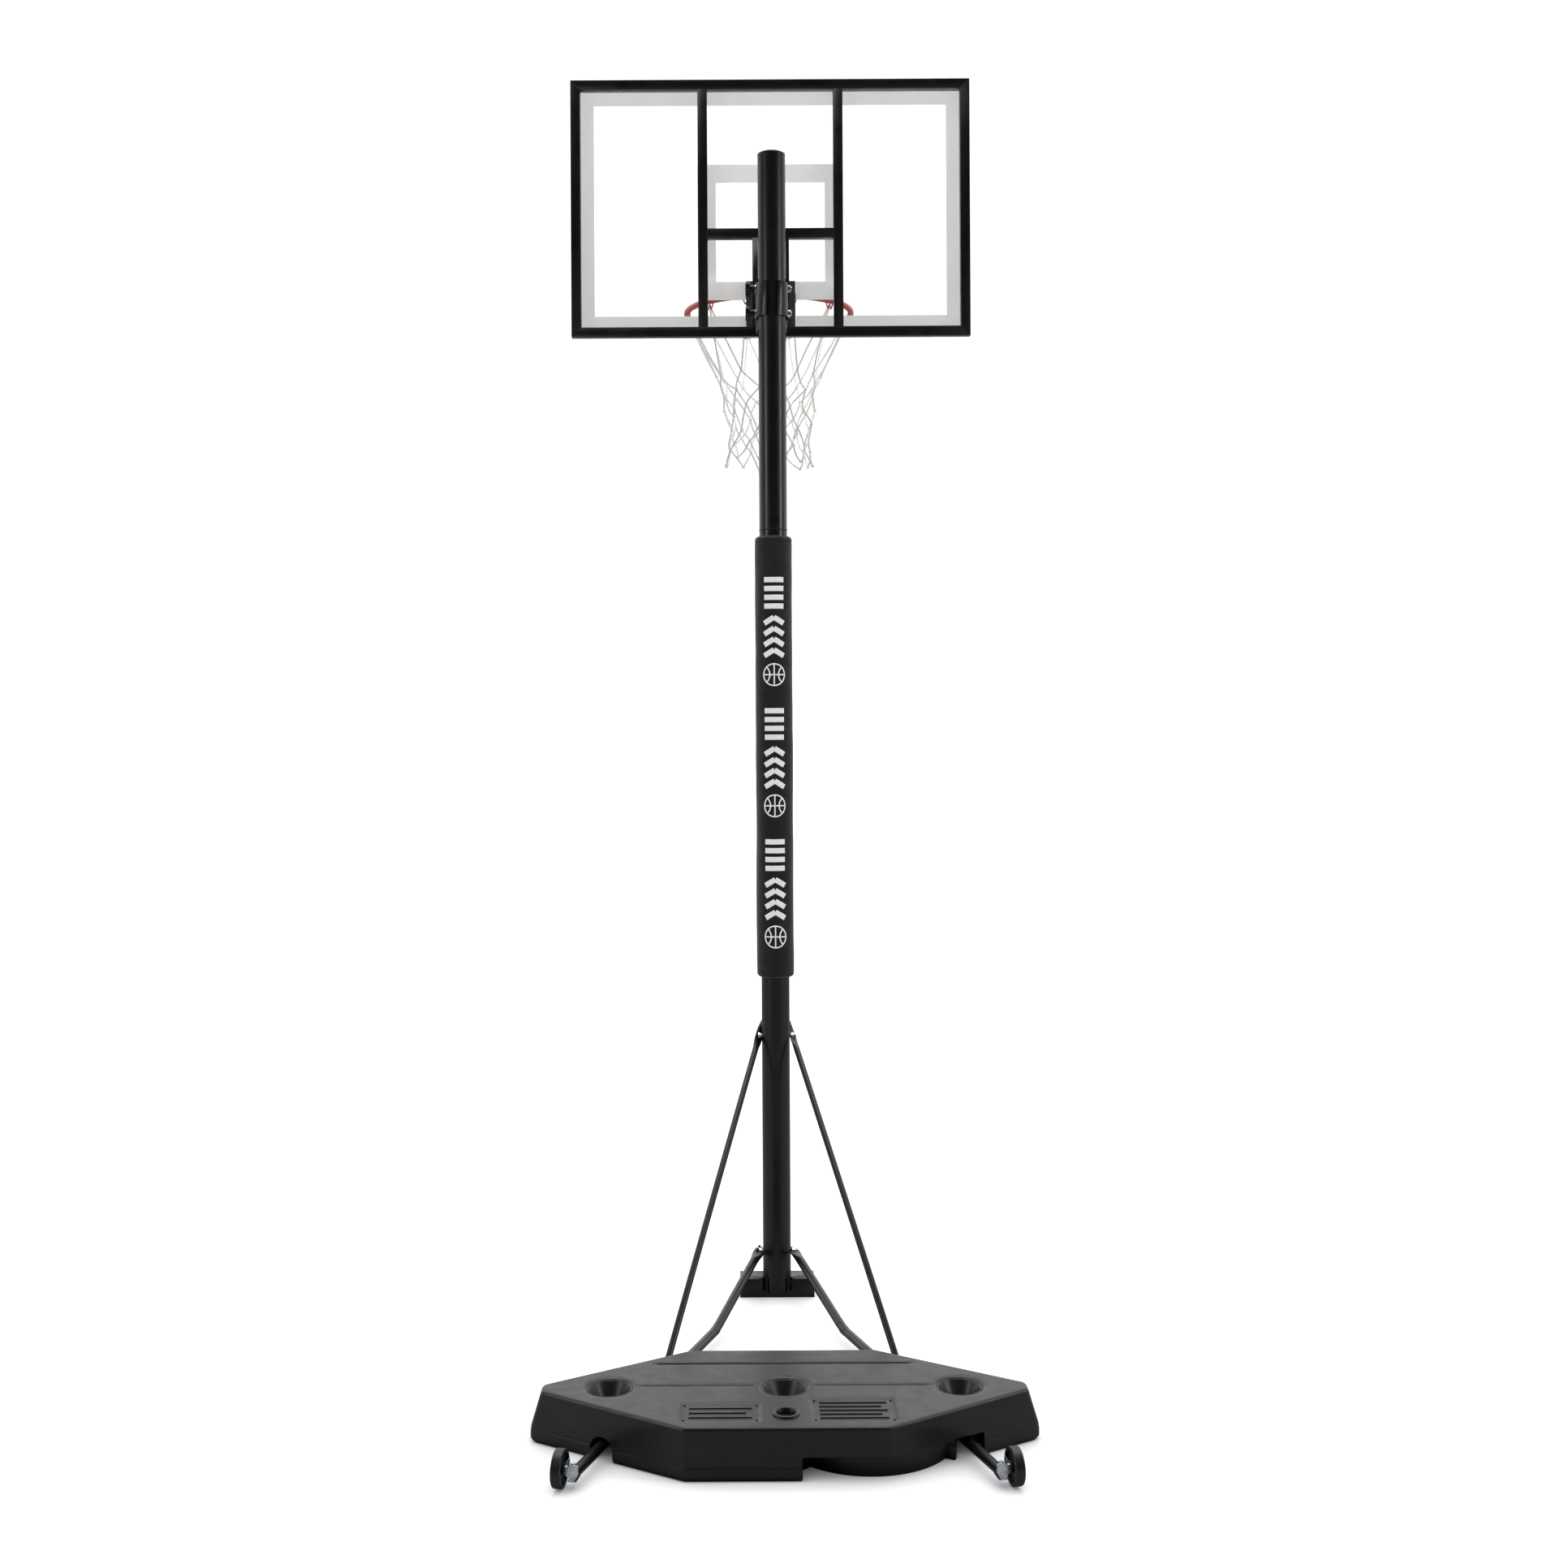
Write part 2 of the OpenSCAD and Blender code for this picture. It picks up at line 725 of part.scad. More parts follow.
tank_shell();
water_ballast();
fill_plug();
foot_block();
foot_bolt();
pole_lower();
pole_middle();
pole_upper();
pole_cap();
pole_pad();
axle_tube_left();
axle_tube_right();
strut_left();
strut_right();
pole_bolts();
strut_bolts();
wheel_bracket_left();
wheel_bracket_right();
bracket_bolts();
axle_left();
axle_right();
wheel_left();
wheel_right();
rail_top();
rail_bottom();
rail_left();
rail_right();
upright_left();
upright_right();
cross_bar();
mount_channel();
clamp_left();
clamp_right();
clamp_washers();
clamp_nuts();
knob_upper();
knob_lower();
knob_bolt_upper();
knob_bolt_lower();
panel();
border_print();
target_print();
panel_screws();
rim_plate();
rim_neck();
rim_gussets();
rim_bolts();
rim_ring();
net_hooks();
net();
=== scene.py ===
"""Looks of the portable basketball hoop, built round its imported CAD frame.

Metres, +Z up, +Y the playing side.
"""

import json
import math
import random

import bmesh
import bpy
import numpy
from mathutils import Euler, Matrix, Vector, noise


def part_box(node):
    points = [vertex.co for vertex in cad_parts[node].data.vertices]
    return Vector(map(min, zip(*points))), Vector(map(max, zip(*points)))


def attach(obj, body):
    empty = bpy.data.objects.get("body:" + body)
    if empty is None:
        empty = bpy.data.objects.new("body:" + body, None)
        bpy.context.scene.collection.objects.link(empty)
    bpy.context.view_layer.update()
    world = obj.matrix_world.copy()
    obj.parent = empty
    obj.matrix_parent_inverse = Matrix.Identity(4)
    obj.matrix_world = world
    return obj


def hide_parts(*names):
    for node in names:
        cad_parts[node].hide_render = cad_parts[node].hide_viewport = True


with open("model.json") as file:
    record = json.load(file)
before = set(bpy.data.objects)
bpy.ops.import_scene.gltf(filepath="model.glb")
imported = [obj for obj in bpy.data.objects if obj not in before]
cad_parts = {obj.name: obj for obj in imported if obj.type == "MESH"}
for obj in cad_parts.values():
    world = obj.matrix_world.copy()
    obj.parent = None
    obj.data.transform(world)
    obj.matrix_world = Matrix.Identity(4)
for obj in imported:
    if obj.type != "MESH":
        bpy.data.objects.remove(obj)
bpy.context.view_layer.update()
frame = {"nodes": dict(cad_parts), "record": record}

MM = 0.001
SEED = 7


# ---- camera, light and floor ----

def make_camera():
    """A level camera behind the hoop, a little left of it and rolled by a fraction of a degree."""
    data = bpy.data.cameras.new("camera")
    data.sensor_width = 36.0
    data.lens = 40.1
    data.shift_x = 0.0243
    data.shift_y = -0.0497
    camera = bpy.data.objects.new("camera", data)
    camera.location = (-0.071, -4.4, 1.48)
    camera.rotation_euler = (math.radians(90), math.radians(0.3), 0)
    bpy.context.scene.collection.objects.link(camera)
    bpy.context.scene.camera = camera


def make_world():
    """White to the eye everywhere; as a light, bright beyond the board and dim on the tank side."""
    world = bpy.data.worlds.new("studio")
    bpy.context.scene.world = world
    world.use_nodes = True
    tree = world.node_tree
    tree.nodes.clear()
    out = tree.nodes.new("ShaderNodeOutputWorld")
    seen = tree.nodes.new("ShaderNodeBackground")
    seen.inputs["Color"].default_value = (1, 1, 1, 1)
    seen.inputs["Strength"].default_value = 1.2
    light = tree.nodes.new("ShaderNodeBackground")
    light.inputs["Color"].default_value = (1.0, 0.99, 0.98, 1)
    coords = tree.nodes.new("ShaderNodeTexCoord")
    split = tree.nodes.new("ShaderNodeSeparateXYZ")
    ramp = tree.nodes.new("ShaderNodeMapRange")
    ramp.interpolation_type = "SMOOTHSTEP"
    ramp.inputs["From Min"].default_value = -0.25
    ramp.inputs["From Max"].default_value = 0.55
    ramp.inputs["To Min"].default_value = 0.05
    ramp.inputs["To Max"].default_value = 1.15
    ray = tree.nodes.new("ShaderNodeLightPath")
    mix = tree.nodes.new("ShaderNodeMixShader")
    tree.links.new(coords.outputs["Generated"], split.inputs[0])
    tree.links.new(split.outputs["Y"], ramp.inputs["Value"])
    tree.links.new(ramp.outputs["Result"], light.inputs["Strength"])
    tree.links.new(ray.outputs["Is Camera Ray"], mix.inputs["Fac"])
    tree.links.new(light.outputs[0], mix.inputs[1])
    tree.links.new(seen.outputs[0], mix.inputs[2])
    tree.links.new(mix.outputs[0], out.inputs["Surface"])
    bpy.context.scene.view_settings.view_transform = "Standard"


def make_softbox(name, place, target, size, power):
    data = bpy.data.lights.new(name, "AREA")
    data.shape = "RECTANGLE"
    data.size, data.size_y = size
    data.energy = power
    lamp = bpy.data.objects.new(name, data)
    lamp.location = place
    lamp.rotation_euler = (Vector(target) - Vector(place)).to_track_quat("-Z", "Y").to_euler()
    bpy.context.scene.collection.objects.link(lamp)


def make_lights():
    make_softbox("softbox_left", (-3.6, -2.2, 2.2), (0, 0, 1.4), (0.8, 3.0), 34)
    make_softbox("softbox_right", (3.8, -1.6, 2.4), (0, 0, 1.4), (0.8, 3.0), 44)
    make_softbox("softbox_top", (0, 0.6, 5.2), (0, -0.3, 0), (4.0, 4.0), 130)


def make_floor():
    mesh = bpy.data.meshes.new("floor")
    reach = 40.0
    corners = [(-reach, -reach, 0), (reach, -reach, 0), (reach, reach, 0), (-reach, reach, 0)]
    mesh.from_pydata(corners, [], [(0, 1, 2, 3)])
    floor = bpy.data.objects.new("floor", mesh)
    bpy.context.scene.collection.objects.link(floor)
    material, shader = principled("studio_floor", (0.4, 0.4, 0.4), 0.9)
    shader.inputs["Emission Color"].default_value = (1, 1, 1, 1)
    shader.inputs["Specular IOR Level"].default_value = 0.1
    # The floor glows for the camera only, and ambient occlusion dims that glow under and around the hoop as
    # a painted shadow.
    ray = node(material, "ShaderNodeLightPath")
    painted_shadow_mask = node(material, "ShaderNodeAmbientOcclusion")
    painted_shadow_mask.inputs["Distance"].default_value = 0.35
    glow = node(material, "ShaderNodeMath", operation="MULTIPLY")
    link(material, ray.outputs["Is Camera Ray"], glow, 0)
    link(material, painted_shadow_mask.outputs["AO"], glow, 1)
    link(material, glow.outputs[0], shader, "Emission Strength")
    mesh.materials.append(material)


# ---- materials ----

def principled(name, color, roughness, metallic=0.0):
    material = bpy.data.materials.new(name)
    material.use_nodes = True
    shader = material.node_tree.nodes["Principled BSDF"]
    shader.inputs["Base Color"].default_value = (*color, 1)
    shader.inputs["Roughness"].default_value = roughness
    shader.inputs["Metallic"].default_value = metallic
    return material, shader


def node(material, kind, **values):
    made = material.node_tree.nodes.new(kind)
    for key, value in values.items():
        socket = made.inputs.get(key.replace("_", " ").title())
        if socket is not None:
            socket.default_value = value
        else:
            setattr(made, key, value)
    return made


def object_coords(material):
    return node(material, "ShaderNodeTexCoord").outputs["Object"]


def noise_value(material, scale, detail=4.0, roughness=0.55, coords=None):
    texture = node(material, "ShaderNodeTexNoise", scale=scale, detail=detail, roughness=roughness)
    material.node_tree.links.new(coords or object_coords(material), texture.inputs["Vector"])
    return texture.outputs["Fac"]


def ramp(material, value, low, high, low_at=0.35, high_at=0.65):
    """Colour that runs from low to high as value passes from low_at to high_at."""
    made = material.node_tree.nodes.new("ShaderNodeValToRGB")
    made.color_ramp.elements[0].position = low_at
    made.color_ramp.elements[1].position = high_at
    made.color_ramp.elements[0].color = (*low, 1)
    made.color_ramp.elements[1].color = (*high, 1)
    material.node_tree.links.new(value, made.inputs["Fac"])
    return made.outputs["Color"]


def spread(material, value, low, high):
    """A number that runs from low to high with value."""
    made = node(material, "ShaderNodeMapRange")
    made.inputs["From Min"].default_value = 0.3
    made.inputs["From Max"].default_value = 0.7
    made.inputs["To Min"].default_value = low
    made.inputs["To Max"].default_value = high
    material.node_tree.links.new(value, made.inputs["Value"])
    return made.outputs["Result"]


def bump(material, shader, height, strength, distance, below=None):
    made = node(material, "ShaderNodeBump", strength=strength, distance=distance)
    material.node_tree.links.new(height, made.inputs["Height"])
    if below is not None:
        material.node_tree.links.new(below, made.inputs["Normal"])
    material.node_tree.links.new(made.outputs["Normal"], shader.inputs["Normal"])
    return made.outputs["Normal"]


def link(material, output, shader, socket):
    material.node_tree.links.new(output, shader.inputs[socket])


def powder_coat(name, low, high, gloss=(0.26, 0.4)):
    """Satin paint with a fine orange peel and slightly uneven gloss."""
    material, shader = principled(name, high, gloss[1])
    link(material, ramp(material, noise_value(material, 6), low, high), shader, "Base Color")
    link(material, spread(material, noise_value(material, 22), *gloss), shader, "Roughness")
    shader.inputs["Coat Weight"].default_value = 0.12
    shader.inputs["Coat Roughness"].default_value = 0.2
    peel = bump(material, shader, noise_value(material, 240, 2), 0.10, 0.0004)
    bump(material, shader, noise_value(material, 900, 2), 0.08, 0.0002, peel)
    return material


def moulded_plastic(name, low, high, gloss=(0.42, 0.58), grain=0.25):
    """Blow-moulded plastic: a leathery grain, soft waviness and faint scuffs."""
    material, shader = principled(name, high, gloss[1])
    link(material, ramp(material, noise_value(material, 9, 6), low, high), shader, "Base Color")
    link(material, spread(material, noise_value(material, 35, 6), *gloss), shader, "Roughness")
    wave = bump(material, shader, noise_value(material, 14, 2), 0.12, 0.002)
    cells = node(material, "ShaderNodeTexVoronoi", scale=850.0)
    link(material, object_coords(material), cells, "Vector")
    bump(material, shader, cells.outputs["Distance"], grain, 0.0003, wave)
    return material


def zinc_plate(name):
    """Bright bluish zinc with a fine rolled grain."""
    material, shader = principled(name, (0.66, 0.73, 0.8), 0.28, 1.0)
    tone = noise_value(material, 90, 5)
    link(material, ramp(material, tone, (0.50, 0.57, 0.64), (0.78, 0.84, 0.9)), shader, "Base Color")
    link(material, spread(material, noise_value(material, 160, 4), 0.18, 0.36), shader, "Roughness")
    bump(material, shader, noise_value(material, 700, 3), 0.08, 0.0002)
    return material


def uv_weave(material, shader, pitch, strength):
    """Plain weave from two crossed waves on the mesh's own cloth coordinates, in metres."""
    coords = node(material, "ShaderNodeUVMap")
    heights = []
    for direction in ("X", "Y"):
        wave = node(material, "ShaderNodeTexWave", scale=1 / (pitch * math.tau), distortion=0.6)
        wave.bands_direction = direction
        link(material, coords.outputs["UV"], wave, "Vector")
        heights.append(wave.outputs["Fac"])
    both = node(material, "ShaderNodeMath", operation="MULTIPLY")
    material.node_tree.links.new(heights[0], both.inputs[0])
    material.node_tree.links.new(heights[1], both.inputs[1])
    bump(material, shader, both.outputs[0], strength, 0.0004)
    return both.outputs[0]


def pad_fabric():
    """Charcoal woven nylon over foam."""
    material, shader = principled("pad_fabric", (0.03, 0.029, 0.03), 0.85)
    thread = uv_weave(material, shader, 0.0011, 0.5)
    link(material, ramp(material, thread, (0.012, 0.0115, 0.012), (0.027, 0.026, 0.027), 0.0, 0.8),
         shader, "Base Color")
    link(material, spread(material, noise_value(material, 30, 4), 0.72, 0.92), shader, "Roughness")
    shader.inputs["Sheen Weight"].default_value = 0.35
    shader.inputs["Sheen Roughness"].default_value = 0.45
    return material


def pad_ink():
    """White ink printed into the weave, worn a little thin, with a faint painted glow."""
    material, shader = principled("pad_ink", (0.9, 0.92, 0.94), 0.6)
    shade = ramp(material, noise_value(material, 420, 5), (0.72, 0.74, 0.76), (0.93, 0.95, 0.97), 0.25, 0.5)
    link(material, shade, shader, "Base Color")
    # Painted glow: the ink emits a little light of its own colour.
    link(material, shade, shader, "Emission Color")
    shader.inputs["Emission Strength"].default_value = 0.35
    bump(material, shader, noise_value(material, 900, 2), 0.3, 0.0003)
    return material


def stitch_thread():
    material, shader = principled("stitch_thread", (0.05, 0.05, 0.052), 0.7)
    link(material, ramp(material, noise_value(material, 800, 2), (0.03, 0.03, 0.03), (0.07, 0.07, 0.07)),
         shader, "Base Color")
    bump(material, shader, noise_value(material, 2500, 2), 0.5, 0.0002)
    return material


def clear_sheet():
    """Clear polycarbonate: mostly see-through, glossy, with a faint edge tint and haze."""
    material, shader = principled("clear_panel", (0.86, 0.9, 0.91), 0.06)
    link(material, spread(material, noise_value(material, 3, 3), 0.03, 0.08), shader, "Roughness")
    shader.inputs["Alpha"].default_value = 0.05
    return material


def screen_print():
    """White ink seen through the sheet; some of the light behind it comes through, and a faint painted glow
    is added.
    """
    material, shader = principled("white_print", (0.72, 0.73, 0.72), 0.5)
    link(material, ramp(material, noise_value(material, 60, 4), (0.69, 0.70, 0.69), (0.74, 0.75, 0.74)),
         shader, "Base Color")
    tree = material.node_tree
    glow = node(material, "ShaderNodeBsdfTranslucent")
    glow.inputs["Color"].default_value = (0.92, 0.93, 0.92, 1)
    mix = node(material, "ShaderNodeMixShader")
    mix.inputs["Fac"].default_value = 0.66
    # Painted glow: the print emits a little white light of its own.
    shader.inputs["Emission Color"].default_value = (1, 1, 1, 1)
    shader.inputs["Emission Strength"].default_value = 0.22
    out = tree.nodes["Material Output"]
    tree.links.new(shader.outputs[0], mix.inputs[1])
    tree.links.new(glow.outputs[0], mix.inputs[2])
    tree.links.new(mix.outputs[0], out.inputs["Surface"])
    return material


def net_cord():
    """Off-white braided polyester, with a faint painted glow."""
    material, shader = principled("net_cord", (0.78, 0.77, 0.73), 0.75)
    shade = ramp(material, noise_value(material, 130, 4), (0.76, 0.755, 0.73), (0.92, 0.915, 0.9))
    link(material, shade, shader, "Base Color")
    # Painted glow: the cord emits a little light of its own colour.
    link(material, shade, shader, "Emission Color")
    shader.inputs["Emission Strength"].default_value = 0.14
    shader.inputs["Sheen Weight"].default_value = 0.2
    bump(material, shader, noise_value(material, 1500, 3), 0.4, 0.0004)
    return material


def water():
    material, shader = principled("water", (0.5, 0.65, 0.72), 0.05)
    link(material, spread(material, noise_value(material, 5), 0.03, 0.08), shader, "Roughness")
    return material


MATERIALS = {
    "tank_plastic": moulded_plastic("tank_plastic", (0.012, 0.0115, 0.0135), (0.018, 0.0172, 0.020),
                                    (0.30, 0.42)),
    "water": water(),
    "black_plastic": moulded_plastic("black_plastic", (0.006, 0.006, 0.007), (0.012, 0.012, 0.013),
                                     (0.3, 0.45), 0.12),
    "zinc": zinc_plate("zinc"),
    "black_steel": powder_coat("black_steel", (0.003, 0.003, 0.003), (0.006, 0.006, 0.006)),
    "pad_fabric": pad_fabric(),
    "wheel_plastic": moulded_plastic("wheel_plastic", (0.014, 0.0135, 0.015), (0.022, 0.021, 0.023),
                                     (0.3, 0.45), 0.12),
    "clear_panel": clear_sheet(),
    "white_print": screen_print(),
    "rim_red": powder_coat("rim_red", (0.50, 0.055, 0.035), (0.58, 0.07, 0.045), (0.28, 0.42)),
    "net_cord": net_cord(),
}
SLOTS = {part["node"]: part["material_slot"] for part in frame["record"]["subparts"]}


def paint_cad():
    for name, part in frame["nodes"].items():
        part.data.materials.clear()
        part.data.materials.append(MATERIALS[SLOTS[name]])


# ---- mesh helpers ----

def add_piece(name, verts, faces, material, body, smooth=True):
    mesh = bpy.data.meshes.new(name)
    mesh.from_pydata([tuple(v) for v in verts], [], faces)
    mesh.materials.append(material)
    for face in mesh.polygons:
        face.use_smooth = smooth
    piece = bpy.data.objects.new(name, mesh)
    bpy.context.scene.collection.objects.link(piece)
    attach(piece, body)
    return piece


def frames_along(points):
    """Unit tangents and steady side vectors along a line of points."""
    tangents = []
    for i in range(len(points)):
        ahead = points[min(i + 1, len(points) - 1)]
        behind = points[max(i - 1, 0)]
        tangents.append((ahead - behind).normalized())
    side = tangents[0].orthogonal().normalized()
    sides = []
    for t in tangents:
        side = (side - t * side.dot(t)).normalized()
        sides.append(side)
    return tangents, sides


def sweep(verts, faces, points, radius, sides=8, lobes=0, lobe_depth=0.0, turn=0.0, flat=None):
    """Adds a closed tube along points.

    With lobes it is a twisted rope, and flat(i) gives each ring's (width, height).
    """
    tangents, normals = frames_along(points)
    start = len(verts)
    run = 0.0
    for i, p in enumerate(points):
        if i:
            run += (p - points[i - 1]).length
        across = tangents[i].cross(normals[i])
        wide, high = flat(i) if flat else (1.0, 1.0)
        for k in range(sides):
            angle = math.tau * k / sides
            r = radius * (1 + lobe_depth * math.cos(lobes * angle + turn * run))
            up = normals[i] * (r * high * math.cos(angle))
            verts.append(p + up + across * (r * wide * math.sin(angle)))
    for i in range(len(points) - 1):
        for k in range(sides):
            a = start + i * sides + k
            b = start + i * sides + (k + 1) % sides
            faces.append((a, b, b + sides, a + sides))
    faces.append(tuple(start + k for k in reversed(range(sides))))
    last = start + (len(points) - 1) * sides
    faces.append(tuple(last + k for k in range(sides)))


def curve_through(points, per_span):
    """Catmull-Rom curve through the points."""
    line = []
    for i in range(len(points) - 1):
        p0 = points[max(i - 1, 0)]
        p1, p2 = points[i], points[i + 1]
        p3 = points[min(i + 2, len(points) - 1)]
        for k in range(per_span):
            t = k / per_span
            line.append(0.5 * (2 * p1 + (p2 - p0) * t + (2 * p0 - 5 * p1 + 4 * p2 - p3) * t * t
                               + (3 * p1 - p0 - 3 * p2 + p3) * t ** 3))
    line.append(points[-1].copy())
    return line


def ball(verts, faces, centre, radius, rings=6, sides=8):
    start = len(verts)
    verts.append(centre + Vector((0, 0, radius)))
    for i in range(1, rings):
        a = math.pi * i / rings
        for k in range(sides):
            b = math.tau * k / sides
            verts.append(centre + Vector((math.sin(a) * math.cos(b), math.sin(a) * math.sin(b),
                                          math.cos(a))) * radius)
    verts.append(centre - Vector((0, 0, radius)))
    for k in range(sides):
        faces.append((start, start + 1 + k, start + 1 + (k + 1) % sides))
        for i in range(rings - 2):
            a = start + 1 + i * sides + k
            b = start + 1 + i * sides + (k + 1) % sides
            faces.append((a, a + sides, b + sides, b))
        low = start + 1 + (rings - 2) * sides
        faces.append((low + k, len(verts) - 1, low + (k + 1) % sides))


def lathe(name, profile, centre, material, body, sides=96):
    """A closed ring from (radius, z) points round a vertical axis."""
    verts, faces = [], []
    for k in range(sides):
        a = math.tau * k / sides
        verts += [Vector((centre[0] + r * math.cos(a), centre[1] + r * math.sin(a), z)) for r, z in profile]
    n = len(profile)
    for k in range(sides):
        for i in range(n):
            j = (i + 1) % n
            m = (k + 1) % sides
            faces.append((k * n + i, m * n + i, m * n + j, k * n + j))
    return add_piece(name, verts, faces, material, body)


# ---- CAD shapes with softened edges ----

def soften(name, width, body, segments=3):
    """A copy of a CAD node with its sharp edges rounded, which stands for it."""
    mesh = frame["nodes"][name].data.copy()
    work = bmesh.new()
    work.from_mesh(mesh)
    bmesh.ops.remove_doubles(work, verts=work.verts, dist=1e-5)
    bmesh.ops.dissolve_limit(work, angle_limit=math.radians(1.5), verts=work.verts, edges=work.edges)
    work.to_mesh(mesh)
    work.free()
    piece = bpy.data.objects.new(name + "_rounded", mesh)
    bpy.context.scene.collection.objects.link(piece)
    bevel = piece.modifiers.new("round", "BEVEL")
    bevel.width = width
    bevel.segments = segments
    bevel.limit_method = "ANGLE"
    bevel.angle_limit = math.radians(35)
    bevel.harden_normals = True
    apply_modifiers(piece)
    for face in piece.data.polygons:
        face.use_smooth = True
    piece.data.set_sharp_from_angle(angle=math.radians(40))
    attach(piece, body)
    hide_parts(name)
    return piece


def apply_modifiers(piece):
    bpy.context.view_layer.update()
    shaped = piece.evaluated_get(bpy.context.evaluated_depsgraph_get())
    mesh = bpy.data.meshes.new_from_object(shaped)
    piece.modifiers.clear()
    piece.data = mesh


def soften_all():
    for name in ("rail_top", "rail_bottom", "rail_left", "rail_right", "upright_left", "upright_right",
                 "cross_bar"):
        soften(name, 2.0 * MM, "board")
    for name in ("mount_channel", "rim_plate", "rim_gussets"):
        soften(name, 0.8 * MM, "board")
    for name in ("clamp_left", "clamp_right"):
        soften(name, 1.2 * MM, "board")
    soften("foot_block", 2.5 * MM, "base")


# ---- tank ----

def outer_skin(source):
    """The outside of a tank mesh, closed where the filler neck leads in."""
    low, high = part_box("fill_plug")
    middle = (low + high) / 2
    work = bmesh.new()
    work.from_mesh(source)
    bmesh.ops.remove_doubles(work, verts=work.verts, dist=1e-5)
    reach = 21 * MM
    neck = [f for f in work.faces if abs(f.normal.z) < 0.5
            and (f.calc_center_median() - middle).xy.length < reach]
    bmesh.ops.delete(work, geom=neck, context="FACES")
    seen, islands = set(), []
    for first in work.faces:
        if first in seen:
            continue
        seen.add(first)
        island, queue = [], [first]
        while queue:
            face = queue.pop()
            island.append(face)
            for edge in face.edges:
                for other in edge.link_faces:
                    if other not in seen:
                        seen.add(other)
                        queue.append(other)
        islands.append(island)
    def width(island):
        xs = [v.co.x for f in island for v in f.verts]
        return max(xs) - min(xs)
    outside = set(max(islands, key=width))
    bmesh.ops.delete(work, geom=[f for f in work.faces if f not in outside], context="FACES")
    bmesh.ops.holes_fill(work, edges=[e for e in work.edges if e.is_boundary], sides=0)
    mesh = bpy.data.meshes.new("tank_skin")
    work.to_mesh(mesh)
    work.free()
    return mesh


# Places on the tank, as in part.scad
WELL_X = 354 * MM
WELL_Y = -864 * MM
PART_Z = 29 * MM
MIDDLE_CREASE_Y = -857 * MM
REAR_CREASE_Y = -739 * MM


def make_tank():
    """The blow-moulded tank: the CAD shell's outside remeshed and relaxed so that every edge is round."""
    tank = bpy.data.objects.new("tank_moulding", outer_skin(frame["nodes"]["tank_shell"].data))
    bpy.context.scene.collection.objects.link(tank)
    remesh = tank.modifiers.new("voxels", "REMESH")
    remesh.mode = "VOXEL"
    remesh.voxel_size = 2.2 * MM
    relax = tank.modifiers.new("relax", "SMOOTH")
    relax.factor = 0.5
    relax.iterations = 6
    apply_modifiers(tank)
    press_lines(tank)
    for face in tank.data.polygons:
        face.use_smooth = True
    tank.data.materials.clear()
    tank.data.materials.append(MATERIALS["tank_plastic"])
    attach(tank, "base")
    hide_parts("tank_shell")
    return tank


def press_lines(tank):
    """Presses in the parting line, the creases and the well rims, opens the neck and tucks the belly."""
    count = len(tank.data.vertices)
    spots = numpy.empty(count * 3)
    normals = numpy.empty(count * 3)
    tank.data.vertices.foreach_get("co", spots)
    tank.data.vertices.foreach_get("normal", normals)
    spots, normals = spots.reshape(-1, 3), normals.reshape(-1, 3)
    x, y, z = spots.T
    wall = abs(normals[:, 2]) < 0.6
    top = normals[:, 2] > 0.7
    part = 1.6 * MM * numpy.exp(-((z - PART_Z) / (1.8 * MM)) ** 2) * wall
    middle = between(abs(x), 56 * MM, 298 * MM) * crease(y, MIDDLE_CREASE_Y, 4 * MM) * 4.0 * MM
    rear = between(abs(x), 0, 268 * MM) * crease(y, REAR_CREASE_Y, 4 * MM) * 3.2 * MM
    for well_x in (-WELL_X, 0, WELL_X):
        out = numpy.hypot(x - well_x, y - WELL_Y) - 43 * MM
        rim = numpy.clip(1 - out / (16 * MM), 0, 1) * (out > -4 * MM)
        middle = numpy.maximum(middle, 5 * MM * rim ** 2)
    spots -= normals * (part + (middle + rear) * top)[:, None]
    neck_low, neck_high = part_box("fill_plug")
    neck = (neck_low + neck_high) / 2
    in_neck = (numpy.hypot(x - neck.x, y - neck.y) < 18.9 * MM) & (z > 90 * MM)
    spots[in_neck, 2] = neck_low.z - 1 * MM
    tuck_belly(spots)
    tank.data.vertices.foreach_set("co", spots.ravel())
    tank.data.update()


def tuck_belly(spots):
    """Sets the tank's round belly back under the near wall on the right, so that a ledge runs above it."""
    centre_x, centre_y, ledge_z = 165 * MM, -872 * MM, 44 * MM
    x, y, z = spots.T
    out = numpy.hypot(x - centre_x, y - centre_y)
    low = numpy.clip(1 - z / ledge_z, 0, 1)
    limit = 189 * MM - 12 * MM * low ** 2
    moved = (z < ledge_z) & (y < -0.93) & (x > 33 * MM) & (x < 0.33) & (out > limit)
    scale = numpy.where(moved, limit / out, 1.0)
    spots[:, 0] = centre_x + (x - centre_x) * scale
    spots[:, 1] = centre_y + (y - centre_y) * scale


def crease(value, centre, half):
    return numpy.exp(-((value - centre) / half) ** 2)


def between(value, low, high):
    """1 inside low to high, fading out over 8 mm."""
    fade = 8 * MM
    return numpy.clip((value - low) / fade + 1, 0, 1) * numpy.clip((high - value) / fade + 1, 0, 1)


